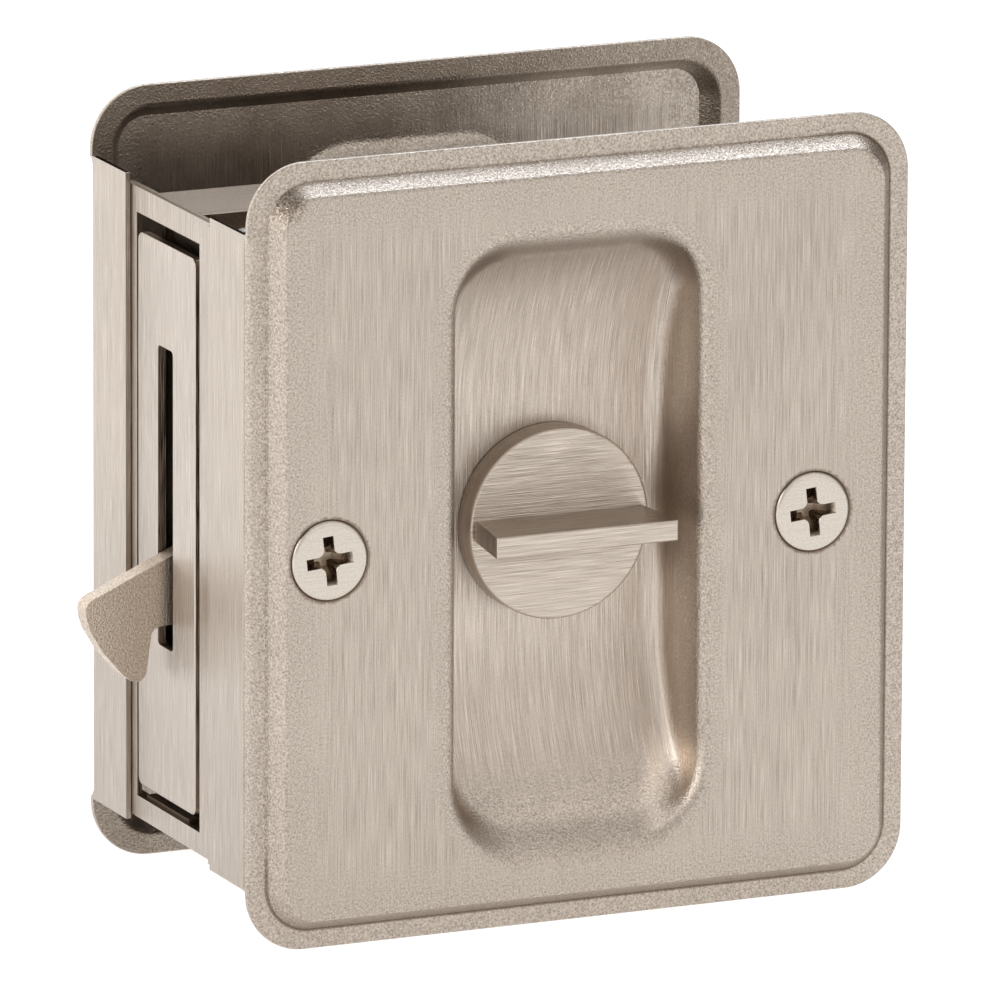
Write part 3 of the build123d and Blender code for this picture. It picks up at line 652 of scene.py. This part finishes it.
def trim_mesh(dimples, fold_lo, fold_hi, flange):
    sh = Sheet()
    half = 32.9
    special = None
    if fold_hi is not None:
        def fr(z):
            return (half - z) / (2 * half)
        special = ((fr(fold_hi + 0.012), fr(fold_lo - 0.012)), (fr(fold_hi), fr(fold_lo)))
    sm = ring_samples(special)
    nx = np.array([s[3] for s in sm])
    ro = np.array([s[4] for s in sm])
    outline, on = ring_at(sm, 0, 69.85, -38.9, 38.9, 6.0)
    outline[:, 0] += nx
    re = 0.13

    def edge_ring(inset, y, th):
        p = outline - on * (inset * ro)[:, None]
        return lift(p, y, on, th)
    first = sh.add(*edge_ring(re, RIM_Y, 0.0))
    prev = first
    # panel step: foot arc, flank, shoulder arc
    ph = math.radians(55.0)
    rf, rs = 0.10, 0.55
    prof = []
    tf, ts = rf * math.tan(ph / 2), rs * math.tan(ph / 2)
    for i in range(8):
        a = ph * i / 7
        prof.append((-tf + rf * math.sin(a), rf * (1 - math.cos(a)), a))
    sc = EMB / math.tan(ph)
    for i in range(12):
        a = ph * (1 - i / 11)
        prof.append((sc + ts - rs * math.sin(a), EMB - rs * (1 - math.cos(a)), a))
    # at the two ends of the fold the rim's outline steps inward
    steps = [i for i in range(len(sm) - 1) if nx[i] != nx[i + 1]]
    both = set()
    for s, h, a in prof:
        p, n2 = ring_at(sm, 2.0 + s, 67.85 - s, -37.0 + s, 37.0 - s, 4.6 - s)
        cur = sh.add(*lift(p, RIM_Y - h, n2, a))
        if prev is first and len(steps) == 2:
            for i0, c in ((steps[0] - 1, 2), (steps[1], 0)):
                both |= {i0, i0 + 1}
                loop = [prev[i0], prev[i0 + 1], prev[i0 + 2], cur[i0 + 2], cur[i0 + 1], cur[i0]]
                loop = loop[c:] + loop[:c]
                for q in range(1, 5):
                    sh.f.append((loop[0], loop[q], loop[q + 1]))
            sh.strip(prev, cur, skip=lambda i, j: i in both)
        else:
            sh.strip(prev, cur)
        prev = cur
    panel = prev
    s_end = prof[-1][0]
    # cup rings
    cm = ring_samples(None)
    insets = [-4.6, -4.0, -3.5, -3.0, -2.6, -2.2, -1.85, -1.5, -1.2, -0.95, -0.72, -0.52, -0.35, -0.2, -0.08, 0.02, 0.1, 0.18, 0.26, 0.35, 0.45,
              0.55, 0.65, 0.75, 0.85, 0.95, 1.05, 1.15, 1.27, 1.4, 1.55, 1.72, 1.92, 2.15, 2.4, 2.7, 3.05, 3.45, 3.9, 4.4]
    prev = None
    for s in insets:
        p, n2 = ring_at(cm, MOUTH[0] - MOUTH[2] + s, MOUTH[0] + MOUTH[2] - s, MOUTH[1] - MOUTH[3] + s, MOUTH[1] + MOUTH[3] - s, MOUTH[4] - s)
        cur = sh.add(*cup_points(p[:, 0], p[:, 1]))
        if prev is None:
            mouth = cur
        else:
            sh.strip(prev, cur)
        prev = cur
    floor_ring = prev
    # hole for the neck, its edge eased
    hole = None
    for r, dy, th in ((4.6, 0.0, 0.0), (4.2, 0.0, 0.0), (4.13, 0.02, -0.8), (4.08, 0.09, -1.5)):
        p, n2 = circle(HUB_X, 0, r, 64)
        cur = sh.add(*lift(p, FACE_Y + CUP_D + dy, n2, th))
        if hole is None:
            hole = cur
        else:
            sh.strip(prev, cur)
        prev = cur
    neck = prev
    # loose points over the scooped floor
    inner = []
    gx = np.arange(26.2, 42.6, 1.35)
    gz = np.arange(-25.4, 24.6, 0.55)
    xs, zs = np.meshgrid(gx, gz)
    xs, zs = xs.ravel(), zs.ravel()
    ok = (rr(xs, zs, MOUTH[0], MOUTH[1], MOUTH[2] - 4.8, MOUTH[3] - 4.8, 2.2) < 0) & (np.hypot(xs - HUB_X, zs) > 5.0)
    inner = sh.add(*cup_points(xs[ok], zs[ok]))

    def in_floor(x, z):
        return float(rr(np.array([x]), np.array([z]), MOUTH[0], MOUTH[1], MOUTH[2] - 4.4, MOUTH[3] - 4.4, 2.6)[0]) < 0 and math.hypot(x - HUB_X, z) > 4.59
    sh.fill([floor_ring, hole], inner, in_floor)
    # dimples under the screw heads
    loops = [panel, mouth]
    ends = []
    if dimples:
        ps = math.atan2(1.95, 4.09 - 2.35)
        rho = 0.15
        tg = rho * math.tan(ps / 2)
        seq = [(4.17, 0.0, 0.0)]
        for i in range(7):
            a = ps * i / 6
            seq.append((4.09 + tg - rho * math.sin(a), rho * (1 - math.cos(a)), -a))
        for f in (0.25, 0.5, 0.75, 1.0):
            r0, d0 = seq[7][0], seq[7][1]
            seq.append((r0 + (2.35 - r0) * f, d0 + (1.95 - d0) * f, -ps))
        for sx in (7.8, 59.0):
            prev = None
            for r, d, th in seq:
                p, n2 = circle(sx, 0, r, 56)
                cur = sh.add(*lift(p, FACE_Y + d, n2, th))
                if prev is None:
                    loops.append(cur)
                else:
                    sh.strip(prev, cur)
                prev = cur
            ends.append((prev, sx))

    def in_panel(x, z):
        one, two = np.array([x]), np.array([z])
        if float(rr(one, two, 34.925, 0, 32.925 - s_end, 37.0 - s_end, 4.6 - s_end)[0]) > 0:
            return False
        if float(rr(one, two, MOUTH[0], MOUTH[1], MOUTH[2] + 4.6, MOUTH[3] + 4.6, MOUTH[4] + 4.6)[0]) < 0:
            return False
        return not dimples or min(math.hypot(x - 7.8, z), math.hypot(x - 59.0, z)) > 4.16
    sh.fill(loops, [], in_panel)
    k = sh.back()
    # cut edges
    z_of = outline[:, 1]

    def attached(i, j):
        return fold_hi is not None and nx[i] > 0 and nx[j] > 0 and fold_lo - 0.01 < z_of[i] < fold_hi + 0.01 and fold_lo - 0.01 < z_of[j] < fold_hi + 0.01
    prev = first
    seq = [(re * (1 - math.sin(a)), RIM_Y + re * (1 - math.cos(a)), a) for a in (math.pi / 8, math.pi / 4, 3 * math.pi / 8, math.pi / 2)]
    seq += [(re * (1 - math.sin(a)), RIM_Y + T - re * (1 + math.cos(a)), a) for a in (math.pi / 2, 5 * math.pi / 8, 3 * math.pi / 4, 7 * math.pi / 8)]
    for inset, y, a in seq:
        yy = np.where(ro > 0, y, RIM_Y if y < RIM_Y + T / 2 else RIM_Y + T)
        p = outline - on * (inset * ro)[:, None]
        cur = sh.add(*lift(p, yy, on, a))
        sh.strip(prev, cur, skip=attached)
        prev = cur
    sh.strip(prev, [i + k for i in first], skip=attached)
    # the bend of the folded flange
    zs = sorted([z_of[i] for i in range(len(nx)) if nx[i] > 0 and fold_lo - 0.01 < z_of[i] < fold_hi + 0.01]
                + [fold_lo + q for q in (0.15, 0.35, 0.6, 0.9, 1.25)] + [fold_hi - q for q in (0.15, 0.35, 0.6, 0.9, 1.25)])
    # the fold tightens to a square corner at its two ends
    tight = [max(0.0, 1 - min(z - fold_lo, fold_hi - z) / 1.5) ** 2 for z in zs]
    rows = []
    for i in range(13):
        a = math.pi / 2 * i / 12
        ca, sa = math.cos(a), math.sin(a)
        qx, qy, mx, my = (1.1 * (1 - math.tan(a)), 0.0, 0.0, 1.0) if i <= 6 else (0.0, 1.1 * (1 - math.tan(math.pi / 2 - a)), 1.0, 0.0)
        po, no = [], []
        for z, w in zip(zs, tight):
            po.append(((1 - w) * 1.1 * (1 - sa) + w * qx, RIM_Y + (1 - w) * 1.1 * (1 - ca) + w * qy, z))
            ux, uy = (1 - w) * sa + w * mx, (1 - w) * ca + w * my
            ul = math.hypot(ux, uy)
            no.append((-ux / ul, -uy / ul, 0.0))
        r = 1.1 - T
        rows.append([sh.add(po, no), sh.add([(1.1 - r * sa, RIM_Y + 1.1 - r * ca, z) for z in zs], [(sa, ca, 0.0)] * len(zs))])
    for (a0, a1), (b0, b1) in zip(rows, rows[1:]):
        sh.strip(a0, b0, closed=False)
        sh.strip(a1, b1, closed=False)
        for e, nz in ((0, -1.0), (-1, 1.0)):
            sh.f.append(tuple(sh.add([sh.v[i] for i in (a0[e], b0[e], b1[e], a1[e])], [(0.0, 0.0, nz)] * 4)))
    for lp, cx in [(neck, HUB_X)] + ends:
        a = np.array([sh.v[i] for i in lp])
        b = np.array([sh.v[i + k] for i in lp])
        n = np.stack([cx - a[:, 0], np.zeros(len(a)), -a[:, 2]], 1)
        n /= np.linalg.norm(n, axis=1)[:, None]
        sh.strip(sh.add(a, n), sh.add(b, n))
    return sh


def trim_object(node, sh, mirror):
    """Joins the drawn plate with the node's own folded flange, edges eased, into one piece."""
    v = np.array(sh.v)
    n = np.array(sh.n)
    faces = list(sh.f)
    if mirror:
        v[:, 1] *= -1
        n[:, 1] *= -1
    # faces wound to agree with their normals
    fixed = []
    for f in faces:
        a, b, c = v[f[0]], v[f[1]], v[f[2]]
        g = np.cross(b - a, c - a)
        if len(f) == 4:
            g = g + np.cross(c - a, v[f[3]] - a)
        if np.dot(g, n[f[0]] + n[f[1]] + n[f[2]]) < 0:
            f = tuple(reversed(f))
        fixed.append(f)
    # the flange, from the node itself
    o = soften(node, 0.13, segs=3, plain=True)
    dg = bpy.context.evaluated_depsgraph_get()
    me = bpy.data.meshes.new_from_object(o.evaluated_get(dg))
    bpy.data.objects.remove(o)
    fv = np.array([p.co for p in me.vertices]) / MM
    fn = [tuple(c.vector) for c in me.corner_normals]
    sgn = -1 if mirror else 1
    keep = []
    for poly in me.polygons:
        q = fv[list(poly.vertices)]
        if q[:, 0].max() < 1.3 and (q[:, 1] * sgn).min() > RIM_Y + 1.1 - 2e-3:
            keep.append(poly)
    verts, index, out_f, out_n = [], {}, [], []

    def vid(p):
        key = (round(p[0], 4), round(p[1], 4), round(p[2], 4))
        if key not in index:
            index[key] = len(verts)
            verts.append(p)
        return index[key]

    def put(pts, nrms):
        ids = [vid(p) for p in pts]
        i2, n2 = [], []
        t = np.array(pts)
        gn = np.cross(t - t[0], np.roll(t, -1, 0) - t[0]).sum(0)
        gl = np.linalg.norm(gn)
        for i, q in zip(ids, nrms):
            if i not in i2:
                if gl > 1e-12 and np.dot(gn, q) / gl < 0.35:
                    q = tuple(gn / gl)
                i2.append(i)
                n2.append(q)
        if len(i2) >= 3:
            out_f.append(tuple(i2))
            out_n.extend(n2)
    for f in fixed:
        put([tuple(v[i]) for i in f], [tuple(n[i]) for i in f])
    for poly in keep:
        put([tuple(fv[i]) for i in poly.vertices], [fn[l] for l in poly.loop_indices])
    k = sh.half
    inner = set(index[(round(p[0], 4), round(p[1], 4), round(p[2], 4))] for p in (tuple(v[i]) for i in range(k, 2 * k)) if (round(p[0], 4), round(p[1], 4), round(p[2], 4)) in index)
    m2 = bpy.data.meshes.new(node + "_shape")
    m2.from_pydata([(p[0] * MM, p[1] * MM, p[2] * MM) for p in verts], [], out_f)
    if len(m2.loops) == len(out_n):
        for poly in m2.polygons:
            poly.use_smooth = True
        m2.normals_split_custom_set(out_n)
    for i, q in enumerate(verts):
        if i not in inner and abs(q[1]) < 18.9 and q[0] > 0.01 and q[0] < 2.0 and abs(q[0] - 0.6) > 0.02:
            inner.add(i)
    at = m2.attributes.new("inside", "FLOAT", "POINT")
    at.data.foreach_set("value", [1.0 if i in inner else 0.0 for i in range(len(verts))])
    o = bpy.data.objects.new(node + "_look", m2)
    scene.collection.objects.link(o)
    o.data.materials.append(mats[SLOT[node]])
    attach(o, BODY[node])
    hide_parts(node)
    return o


trim_object("front_trim", trim_mesh(True, -32.6, 32.1, True), False)
trim_object("rear_trim", trim_mesh(False, -32.6, 32.3, True), True)

# ---- light and floor -----------------------------------------------------
world = bpy.data.worlds.new("studio")
scene.world = world
world.use_nodes = True
g = Graph(world.node_tree)
tc = g.add("ShaderNodeTexCoord")
d = tc.outputs["Generated"]
s = g.add("ShaderNodeSeparateXYZ", {"Vector": d})
top = g.step(s.outputs[2], 0.30, 0.85)


def lobe(dx, dy, dz, c0, c1):
    v = Vector((dx, dy, dz)).normalized()
    return g.step(g.v("DOT_PRODUCT", d, tuple(v)), c0, c1)


lvl = g.m("ADD", 0.76, g.m("MULTIPLY", top, 0.06))
upper = lobe(0.38, 0.42, 0.82, 0.86, 0.955)
lvl = g.m("ADD", lvl, g.m("MULTIPLY", upper, 3.3))
lvl = g.m("ADD", lvl, g.m("MULTIPLY", lobe(0.4, -0.87, 0.22, 0.72, 0.95), 0.36))
lvl = g.m("SUBTRACT", lvl, g.m("MULTIPLY", lobe(0.4, -0.42, 0.81, 0.86, 0.98), 0.12))
lvl = g.m("ADD", lvl, g.m("MULTIPLY", lobe(-0.45, 0.85, 0.15, 0.55, 0.95), 0.9))
lvl = g.m("ADD", lvl, g.m("MULTIPLY", lobe(-1.0, -0.2, 0.1, 0.6, 1.0), 0.5))
lvl = g.m("ADD", lvl, g.m("MULTIPLY", lobe(-0.86, -0.13, 0.46, 0.90, 0.985), 1.2))
lvl = g.m("SUBTRACT", lvl, g.m("MULTIPLY", lobe(0.93, 0.33, 0.12, 0.55, 0.95), 0.5))
lvl = g.m("SUBTRACT", lvl, g.m("MULTIPLY", lobe(-0.615, -0.118, 0.778, 0.94, 0.985), 2.2))
band = g.m("MULTIPLY", g.step(s.outputs[2], -0.05, 0.0), g.step(s.outputs[2], 0.12, 0.05))
lvl = g.m("SUBTRACT", lvl, g.m("MULTIPLY", band, 0.22))
lvl = g.m("MAXIMUM", lvl, 0.03)
bgn = g.add("ShaderNodeBackground", {"Strength": lvl})
g.put(bgn.inputs[0], g.mixc(upper, (1.0, 0.985, 0.965), (0.84, 0.94, 1.06)))
white = g.add("ShaderNodeBackground", {"Strength": 1.0})
white.inputs[0].default_value = (1, 1, 1, 1)
lp = g.add("ShaderNodeLightPath")
mix = g.add("ShaderNodeMixShader")
g.t.links.new(lp.outputs["Is Camera Ray"], mix.inputs[0])
g.t.links.new(bgn.outputs[0], mix.inputs[1])
g.t.links.new(white.outputs[0], mix.inputs[2])
world.cycles.sampling_method = "NONE"
wo = g.add("ShaderNodeOutputWorld")
g.t.links.new(mix.outputs[0], wo.inputs[0])

fm = bpy.data.materials.new("floor_white")
fm.use_nodes = True
g = Graph(fm.node_tree)
dif = g.add("ShaderNodeBsdfDiffuse")
dif.inputs[0].default_value = (0.22, 0.22, 0.22, 1)
tc = g.add("ShaderNodeTexCoord")
sp = g.add("ShaderNodeSeparateXYZ", {"Vector": tc.outputs["Object"]})
fx, fy = sp.outputs[0], sp.outputs[1]
across = g.m("SUBTRACT", g.m("MULTIPLY", fx, 0.912), g.m("MULTIPLY", fy, 0.409))
deep = g.m("ADD", g.m("MULTIPLY", fx, 0.409), g.m("MULTIPLY", fy, 0.912))
glow = g.m("ADD", 0.95, g.m("MULTIPLY", g.step(g.m("SUBTRACT", g.m("MULTIPLY", fy, 0.9), g.m("MULTIPLY", fx, 0.43)), 0.05, 0.18), 0.12))
glow = g.m("ADD", glow, g.m("MULTIPLY", g.step(fx, -0.03, -0.15), 0.20))
glow = g.m("SUBTRACT", glow, g.m("MULTIPLY", g.m("MULTIPLY", g.step(across, 0.112, 0.17), g.step(deep, -0.02, 0.04)), 0.60))
glow = g.m("SUBTRACT", glow, g.m("MULTIPLY", g.step(deep, -0.13, -0.23), 0.08))
# seen directly, the floor is one plain tone
direct = g.add("ShaderNodeLightPath").outputs["Is Camera Ray"]
em = g.add("ShaderNodeEmission", {"Strength": g.mixf(direct, glow, 0.97)})
em.inputs[0].default_value = (1, 0.995, 0.985, 1)
ad = g.add("ShaderNodeAddShader")
g.t.links.new(dif.outputs[0], ad.inputs[0])
g.t.links.new(em.outputs[0], ad.inputs[1])
fo = g.add("ShaderNodeOutputMaterial")
g.t.links.new(ad.outputs[0], fo.inputs[0])

fm.cycles.emission_sampling = "NONE"
fmesh = bpy.data.meshes.new("floor")
S, F = 14.0, cad_lo.z - 0.00002
fmesh.from_pydata([(-S, -S, F), (S, -S, F), (S, S, F), (-S, S, F)], [], [(0, 1, 2, 3)])
fmesh.materials.append(fm)
floor = bpy.data.objects.new("floor", fmesh)
scene.collection.objects.link(floor)
